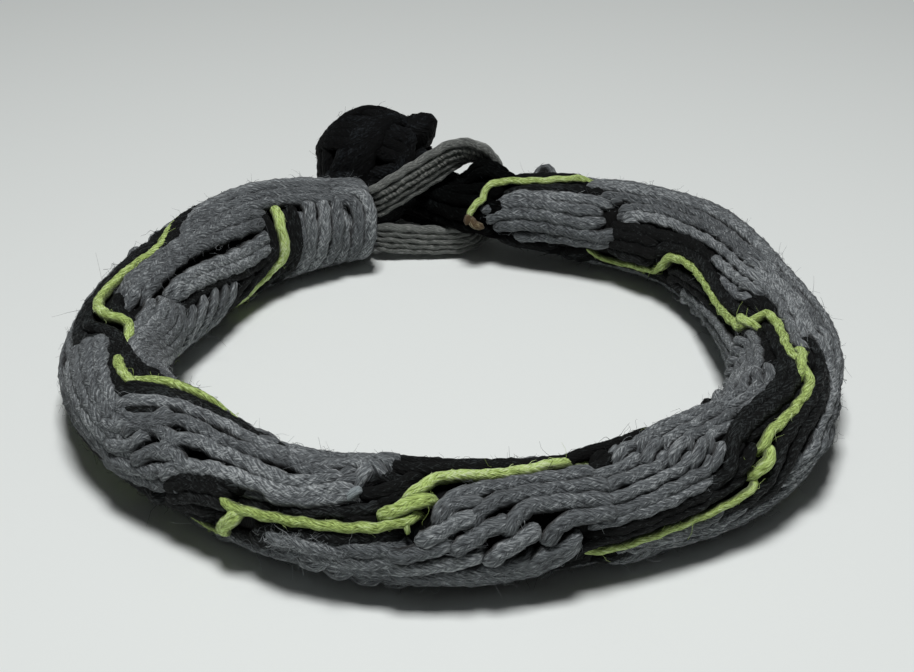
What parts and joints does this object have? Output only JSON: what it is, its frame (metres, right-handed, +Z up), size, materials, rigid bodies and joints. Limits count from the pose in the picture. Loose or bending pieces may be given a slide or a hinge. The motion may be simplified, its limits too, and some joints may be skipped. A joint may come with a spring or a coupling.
{
  "type": "woven fabric wristband",
  "caption": "Thick round-braided cord wristband in grey, black and lime, closed by a knotted cord button through a flat corded loop.",
  "frame": {"origin": "bottom centre of the whole wristband's box, on the surface that it lies on", "axes": "+Z up, the ring lies flat; +Y towards the closure and its button, which make this the longest way; +X to the right seen from the front"},
  "size_m": [0.0838, 0.0896, 0.0145],
  "materials": {
    "grey_cord": "waxed twisted cotton cord, matt with a faint waxy gleam",
    "wrap_cord": "waxed twisted cotton cord, matt",
    "loop_cord": "flat corded braid, satin",
    "black_cord": "waxed twisted cotton cord, matt",
    "knot_cord": "waxed twisted cotton cord wound into a ball, matt"
  },
  "bodies": {
    "root": {"woven_band": "grey_cord", "end_wrap": "wrap_cord", "fastening_loop": "loop_cord", "button_neck": "black_cord", "button_knot": "knot_cord"}
  },
  "joints": []
}
